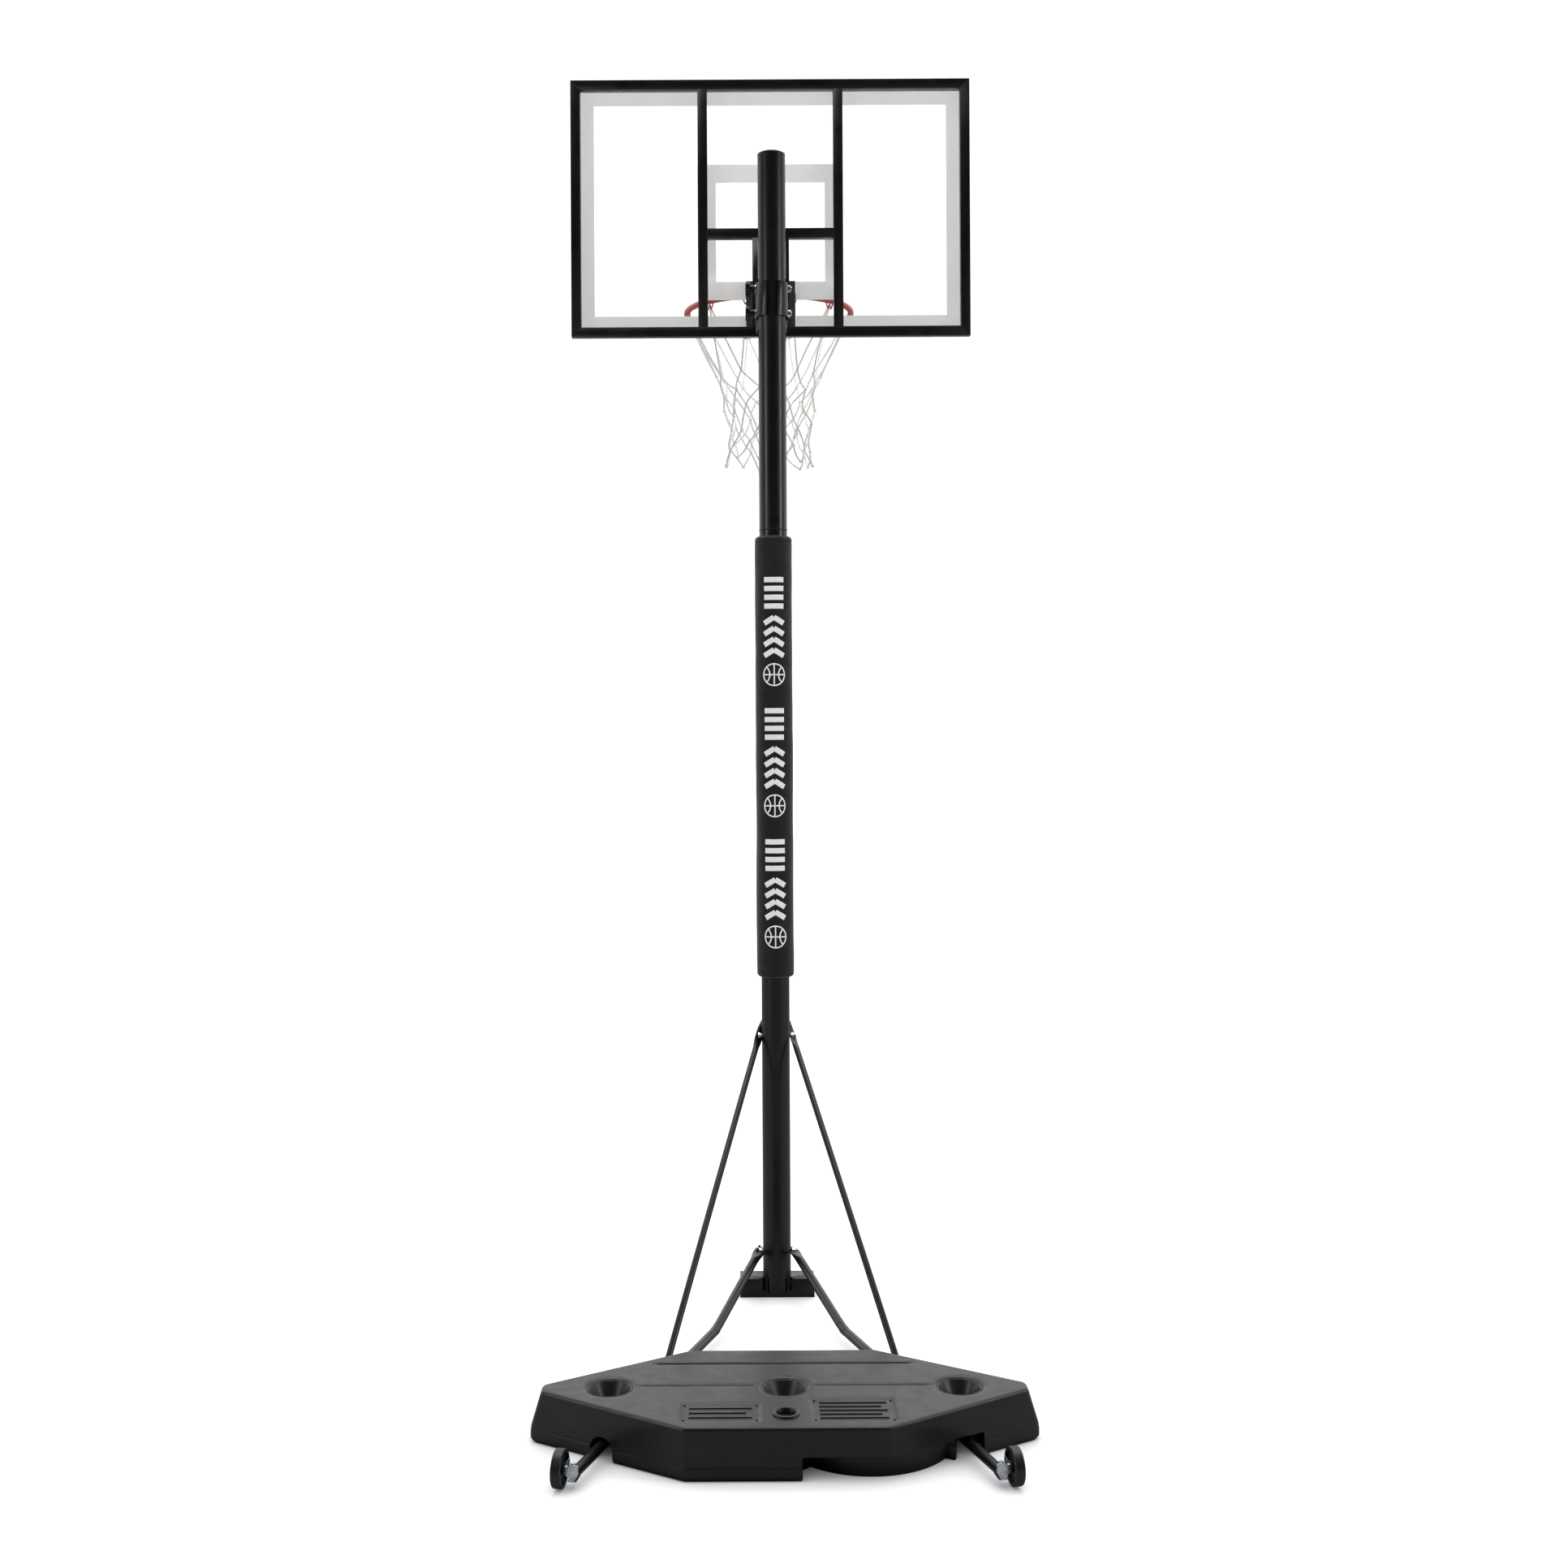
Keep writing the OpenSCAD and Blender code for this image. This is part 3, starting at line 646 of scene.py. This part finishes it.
def make_filler_cap():
    """A round-lipped cap with a deep finger well."""
    low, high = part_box("fill_plug")
    middle = (low + high) / 2
    radius = (high.x - low.x) / 2 - 0.2 * MM
    top = high.z
    profile = [(0.2 * MM, top - 12 * MM), (17.5 * MM, top - 12 * MM), (19 * MM, top - 3 * MM),
               (20.5 * MM, top - 0.8 * MM), (22.5 * MM, top), (25 * MM, top - 0.3 * MM),
               (radius - 0.6 * MM, top - 1.6 * MM), (radius, top - 3.6 * MM), (19 * MM, top - 3.9 * MM),
               (18.8 * MM, low.z), (0.2 * MM, low.z)]
    cap = lathe("filler_cap", profile, (middle.x, middle.y), MATERIALS["black_plastic"], "plug")
    cap.data.set_sharp_from_angle(angle=math.radians(50))
    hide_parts("fill_plug")


# The two recesses of part.scad in mm: left, right, near and far edges, and the number of ribs
RECESSES = ((-206, -50, -1036, -948, 3), (50, 216, -1036, -926, 5))


def make_recess_ribs():
    """Plain raised ribs and corner studs on the floors of the two shallow recesses."""
    verts, faces = [], []
    margin, shorter = 16, 12
    floor_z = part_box("tank_shell")[1].z - 2.2 * MM
    for left, right, near, far, ribs in RECESSES:
        for k in range(ribs):
            y = near + (far - near) * (k + 1) / (ribs + 1)
            start = Vector((left + margin, y, 0)) * MM
            end = Vector((right - margin - shorter * (k % 2), y, 0)) * MM
            line = dense([start, end], 6 * MM)
            sweep(verts, faces, [p + Vector((0, 0, floor_z)) for p in line], 2.0 * MM, sides=10)
        for x in (left + 7, right - 7):
            for y in (near + 8, far - 8):
                ball(verts, faces, Vector((x * MM, y * MM, floor_z)), 2.4 * MM)
    add_piece("recess_ribs", verts, faces, MATERIALS["tank_plastic"], "base")


# ---- pole pad ----

PAD_LOW, PAD_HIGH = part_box("pole_pad")
PAD_INNER = 35.5 * MM
PAD_OUTER = (PAD_HIGH.x - PAD_LOW.x) / 2


def pad_radius(angle, z):
    """Outer radius of the pad: round ends, slow dents where the foam creases, a lap along the front."""
    low, high = PAD_LOW.z, PAD_HIGH.z
    roll = 9 * MM
    from_end = min(z - low, high - z)
    radius = PAD_OUTER - 0.6 * MM
    if from_end < roll:
        radius -= roll - math.sqrt(max(roll ** 2 - (roll - from_end) ** 2, 0))
    wave = noise.noise(Vector((math.cos(angle) * 0.9, math.sin(angle) * 0.9, z * 5.5)))
    fold = noise.noise(Vector((math.cos(angle) * 1.7 + 5, math.sin(angle) * 1.7, z * 16.0)))
    lap = math.exp(-((angle - math.pi / 2) / 0.10) ** 2) * 1.2 * MM
    hem = math.exp(-((from_end - 16 * MM) / (1.6 * MM)) ** 2) * 1.0 * MM
    return radius + wave * 1.5 * MM + fold * 0.6 * MM + lap - hem


def make_pad():
    sides, rows = 128, 360
    verts, faces, cloth = [], [], []
    low, high = PAD_LOW.z + 0.4 * MM, PAD_HIGH.z - 0.4 * MM
    levels = [low + (high - low) * (0.5 - 0.5 * math.cos(math.pi * i / rows)) * 0.25
              + (high - low) * (i / rows) * 0.75 for i in range(rows + 1)]
    for z in levels:
        for k in range(sides):
            a = math.tau * k / sides - math.pi
            r = pad_radius(a, z)
            verts.append(Vector((r * math.cos(a), r * math.sin(a), z)))
            cloth.append((a * PAD_OUTER, z))
    for z in (high, low):
        for k in range(sides):
            a = math.tau * k / sides - math.pi
            verts.append(Vector((PAD_INNER * math.cos(a), PAD_INNER * math.sin(a), z)))
            cloth.append((a * PAD_OUTER, z))
    rings = rows + 3
    for i in range(rings):
        for k in range(sides):
            j, m = (i + 1) % rings, (k + 1) % sides
            faces.append((i * sides + k, i * sides + m, j * sides + m, j * sides + k))
    pad = add_piece("pad_sleeve", verts, faces, MATERIALS["pad_fabric"], "base")
    layer = pad.data.uv_layers.new(name="cloth")
    girth = math.tau * PAD_OUTER
    for face in pad.data.polygons:
        spots = [cloth[v] for v in face.vertices]
        wraps = max(s[0] for s in spots) - min(s[0] for s in spots) > girth / 2
        for corner, (u, v) in zip(face.loop_indices, spots):
            layer.data[corner].uv = (u + girth if wraps and u < 0 else u, v)
    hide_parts("pole_pad")
    return pad


def on_pad(u, v, lift):
    """A point at arc length u from the middle of the pad's rear face, at height v."""
    a = -math.pi / 2 + u / PAD_OUTER
    r = pad_radius(a, v) + lift
    return Vector((r * math.cos(a), r * math.sin(a), v))


def ribbon(verts, faces, line, width, closed=False, across=6):
    """A printed stroke along a flat line of (u, v) points, laid on the pad as a thin closed skin."""
    count = len(line)
    start = len(verts)
    for i, (u, v) in enumerate(line):
        if closed:
            before, after = line[i - 1], line[(i + 1) % count]
        else:
            before, after = line[max(i - 1, 0)], line[min(i + 1, count - 1)]
        du, dv = after[0] - before[0], after[1] - before[1]
        size = math.hypot(du, dv)
        nu, nv = -dv / size, du / size
        for lift in (0.45 * MM, 0.05 * MM):
            for k in range(across + 1):
                s = width * (k / across - 0.5)
                verts.append(on_pad(u + nu * s, v + nv * s, lift))
    ring = 2 * (across + 1)
    order = list(range(across + 1)) + list(range(ring - 1, across, -1))
    for i in range(count if closed else count - 1):
        j = (i + 1) % count
        for k in range(ring):
            a, b = order[k], order[(k + 1) % ring]
            faces.append((start + i * ring + a, start + i * ring + b,
                          start + j * ring + b, start + j * ring + a))
    if not closed:
        faces.append(tuple(start + k for k in reversed(order)))
        faces.append(tuple(start + (count - 1) * ring + k for k in order))


def arc(cu, cv, r, start, end, steps):
    return [(cu + r * math.cos(start + (end - start) * i / steps),
             cv + r * math.sin(start + (end - start) * i / steps)) for i in range(steps + 1)]


def straight(a, b, steps=12):
    return [(a[0] + (b[0] - a[0]) * i / steps, a[1] + (b[1] - a[1]) * i / steps) for i in range(steps + 1)]


def pad_motif(verts, faces, base):
    """A plain ball outline under a stack of chevrons and bars."""
    r, line = 27 * MM, 3.2 * MM
    cv = base + r + 4 * MM
    ribbon(verts, faces, arc(0, cv, r, 0, math.tau, 64)[:-1], line, closed=True)
    ribbon(verts, faces, straight((0, cv - r), (0, cv + r)), line, across=2)
    for side in (-1, 1):
        ribbon(verts, faces, straight((side * 2 * MM, cv), (side * (r - 2 * MM), cv)), line, across=2)
        bend = arc(side * 1.35 * r, cv, 0.95 * r, -0.78, 0.78, 20)
        if side > 0:
            bend = arc(side * 1.35 * r, cv, 0.95 * r, math.pi - 0.78, math.pi + 0.78, 20)
        ribbon(verts, faces, bend, line, across=2)
    top = cv + r + 20 * MM
    for k in range(4):
        v = top + k * 27 * MM
        for side in (-1, 1):
            ribbon(verts, faces, straight((0, v + 15 * MM), (side * 25 * MM, v)), 13 * MM)
    v = top + 4 * 27 * MM + 16 * MM
    for k in range(4):
        ribbon(verts, faces, straight((-25 * MM, v + k * 22 * MM), (25 * MM, v + k * 22 * MM), 20), 13 * MM)


def make_pad_print():
    verts, faces = [], []
    first, pitch = 0.873, 0.327
    for k in range(3):
        pad_motif(verts, faces, first + k * pitch)
    return add_piece("pad_motifs", verts, faces, pad_ink(), "base")


def make_pad_stitches():
    verts, faces = [], []
    count, length = 64, 3.0 * MM
    for z in (PAD_LOW.z + 16 * MM, PAD_HIGH.z - 16 * MM):
        for k in range(count):
            middle = (k + 0.5) / count * math.tau * PAD_OUTER
            line = [on_pad(middle + length * (i / 4 - 0.5), z, (0.5 - abs(i / 4 - 0.5)) * 1.2 * MM)
                    for i in range(5)]
            sweep(verts, faces, line, 0.45 * MM, sides=6)
    for k in range(150):
        z = PAD_LOW.z + 24 * MM + k * (PAD_HIGH.z - PAD_LOW.z - 48 * MM) / 149
        line = [on_pad(math.pi * PAD_OUTER - 6 * MM, z + length * (i / 4 - 0.5),
                       (0.5 - abs(i / 4 - 0.5)) * 1.2 * MM) for i in range(5)]
        sweep(verts, faces, line, 0.45 * MM, sides=6)
    return add_piece("pad_stitches", verts, faces, stitch_thread(), "base")


# ---- rim and net ----

RING_LOW, RING_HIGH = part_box("rim_ring")
RING_MIDDLE = (RING_LOW + RING_HIGH) / 2
ROD = (RING_HIGH.z - RING_LOW.z) / 2
RING_RADIUS = (RING_HIGH.x - RING_LOW.x) / 2 - ROD
HOOKS = 12


def on_ring(turn, radius, z):
    """A point at a number of hook places round the ring, and a height above the ring's middle."""
    a = math.tau * turn / HOOKS
    return RING_MIDDLE + Vector((radius * math.cos(a), radius * math.sin(a), z))


def make_hooks():
    """Zigzag wire hooks welded under the ring."""
    verts, faces = [], []
    bends = ((-17, -7), (-13, -9), (-8, -20), (-5, -22), (-1.5, -12), (1.5, -12), (5, -22), (8, -20),
             (13, -9), (17, -7))
    for k in range(HOOKS):
        points = [on_ring(k + 0.5 + along * MM / RING_RADIUS * HOOKS / math.tau, RING_RADIUS, drop * MM)
                  for along, drop in bends]
        sweep(verts, faces, curve_through(points, 4), 1.9 * MM, sides=8)
    piece = add_piece("hook_wires", verts, faces, MATERIALS["rim_red"], "board")
    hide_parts("net_hooks")
    return piece


def net_levels():
    """(height below the ring's middle, radius) of each row of knots."""
    return ((-0.182, 0.150), (-0.232, 0.131), (-0.282, 0.121), (-0.332, 0.117), (-0.382, 0.116),
            (-0.428, 0.118))


def strand(verts, faces, a, b, slack, rng):
    """A rope length from a to b that bows a little."""
    length = (b - a).length
    sag = Vector((rng.uniform(-1, 1), rng.uniform(-1, 1), -0.5)) * slack * length
    points = [a, a.lerp(b, 0.33) + sag * 0.8, a.lerp(b, 0.67) + sag, b]
    ring_gap = 7.2 * MM
    steps = max(3, int(length / ring_gap))
    sweep(verts, faces, curve_through(points, steps), 2.5 * MM, sides=9, lobes=3, lobe_depth=0.10,
          turn=math.tau / (12 * MM))


def make_net():
    """Knotted cord: a long loop from each hook, then rows of diamonds that hang slack."""
    rng = random.Random(SEED)
    verts, faces = [], []
    rows = []
    for i, (z, radius) in enumerate(net_levels()):
        shift = 0.0 if i % 2 == 0 else 0.5
        row = []
        for k in range(HOOKS):
            wobble = 0.004 + 0.010 * min(i, 4) / 4
            row.append(on_ring(k + shift + rng.uniform(-0.12, 0.12), radius + rng.uniform(-wobble, wobble),
                               z + rng.uniform(-wobble, wobble)))
        rows.append(row)
    for k in range(HOOKS):
        hook = on_ring(k + 0.5, RING_RADIUS, -19.5 * MM)
        for knot in (rows[0][k], rows[0][(k + 1) % HOOKS]):
            lean = (knot - hook) * 0.04
            strand(verts, faces, hook + Vector((lean.x, lean.y, 0)), knot, 0.02, rng)
        ball(verts, faces, hook + Vector((0, 0, -1.5 * MM)), 3.4 * MM)
    for i in range(len(rows) - 1):
        for k in range(HOOKS):
            left = (k - 1) % HOOKS if i % 2 == 0 else k
            for target in (rows[i + 1][left], rows[i + 1][(left + 1) % HOOKS]):
                strand(verts, faces, rows[i][k], target, 0.09, rng)
    for i, row in enumerate(rows):
        for knot in row:
            tie(verts, faces, knot, rng)
    piece = add_piece("net_cords", verts, faces, MATERIALS["net_cord"], "board")
    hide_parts("net")
    return piece


def tie(verts, faces, centre, rng):
    """A small overhand knot: two crossed turns of cord."""
    for tilt in (0.5, -0.5):
        turn = Euler((tilt, rng.uniform(-0.4, 0.4), rng.uniform(0, math.tau)))
        points = []
        for i in range(13):
            a = math.tau * 1.05 * i / 12
            p = Vector((math.cos(a) * 3.0 * MM, math.sin(a) * 3.0 * MM, (i / 12 - 0.5) * 3.0 * MM))
            p.rotate(turn)
            points.append(centre + p)
        sweep(verts, faces, points, 1.9 * MM, sides=7)


# ---- bent tubes with pressed-flat ends ----

def flat_profile(points, flats, blend):
    """Ring shapes along a tube: squeezed within each (point, length) end of flats."""
    def shape(i):
        press = 0.0
        for spot, reach in flats:
            away = (points[i] - spot).length
            press = max(press, min(1.0, max(0.0, 1 - (away - reach) / blend)))
        press = press * press * (3 - 2 * press)
        return 1 + 0.38 * press, 1 - 0.80 * press
    return shape


def dense(points, step):
    line = []
    for a, b in zip(points, points[1:]):
        count = max(1, round((b - a).length / step))
        line += [a.lerp(b, i / count) for i in range(count)]
    return line + [points[-1]]


def make_strut(side):
    """Straight tube from the pole to the rolling tube, pressed flat at both bolts."""
    node_name = "strut_right" if side > 0 else "strut_left"
    bolt_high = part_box("pole_bolts")[1]
    nut_low, nut_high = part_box("strut_bolts")
    top = Vector((side * 38.6 * MM, 0, bolt_high.z - 7 * MM))
    foot_x = side * (nut_high.x - 7 * MM)
    foot_y = (nut_low.y + nut_high.y) / 2
    foot = Vector((foot_x, foot_y, nut_high.z - 6.6 * MM))
    run = (foot - top).normalized()
    line = [top - run * 11 * MM, top, top + run * 26 * MM + Vector((side * 3 * MM, 0, 0)),
            foot - run * 32 * MM + Vector((0, 0, 4 * MM)), foot - Vector((side * 5 * MM, -13 * MM, 0)),
            foot, foot + Vector((side * 3 * MM, -9 * MM, 0))]
    points = dense(curve_through(line, 6), 6 * MM)
    verts, faces = [], []
    sweep(verts, faces, points, 7.4 * MM, sides=24,
          flat=flat_profile(points, ((top, 12 * MM), (foot, 14 * MM)), 34 * MM))
    piece = add_piece(node_name + "_pressed", verts, faces, MATERIALS["black_steel"], "base")
    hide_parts(node_name)
    return piece


TUBE_BEND = Vector((150, -345, 30)) * MM


def make_axle_tube(side):
    """Round tube with a pressed end at the pole, bent level where it meets the floor line."""
    node_name = "axle_tube_right" if side > 0 else "axle_tube_left"
    low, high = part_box(node_name)
    bolt_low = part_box("pole_bolts")[0]
    bend = Vector((side * TUBE_BEND.x, TUBE_BEND.y, TUBE_BEND.z))
    end = Vector((side * (max(abs(low.x), abs(high.x)) - 10.2 * MM), low.y + 3.6 * MM, bend.z))
    top = Vector((side * 39 * MM, 0, bolt_low.z + 7 * MM))
    down = (bend - top).normalized()
    along = (end - bend).normalized()
    line = [top - down * 10 * MM, top, top + down * 24 * MM + Vector((side * 4 * MM, 0, 0)),
            bend - down * 60 * MM, bend - down * 16 * MM, bend + along * 16 * MM,
            bend + along * 60 * MM, end]
    points = dense(curve_through(line, 8), 8 * MM)
    verts, faces = [], []
    sweep(verts, faces, points, 10.4 * MM, sides=32, flat=flat_profile(points, ((top, 12 * MM),), 42 * MM))
    piece = add_piece(node_name + "_bent", verts, faces, MATERIALS["black_steel"], "base")
    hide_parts(node_name)
    return piece


# ---- small trim ----

def make_pole_lip():
    """The rolled lip where the upper tube sits in the middle one."""
    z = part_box("pole_middle")[1].z
    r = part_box("pole_upper")[1].x
    profile = [(r + 0.05 * MM, z - 3 * MM), (r + 0.7 * MM, z - 2 * MM), (r + 0.9 * MM, z - 1 * MM),
               (r + 0.7 * MM, z), (r + 0.05 * MM, z + 0.4 * MM)]
    return lathe("pole_lip", profile, (0, 0), MATERIALS["black_steel"], "base")


make_camera()
make_world()
make_lights()
make_floor()
paint_cad()
soften_all()
make_tank()
make_filler_cap()
make_recess_ribs()
for side in (-1, 1):
    make_strut(side)
    make_axle_tube(side)
make_pad()
make_pad_print()
make_pad_stitches()
make_hooks()
make_net()
make_pole_lip()
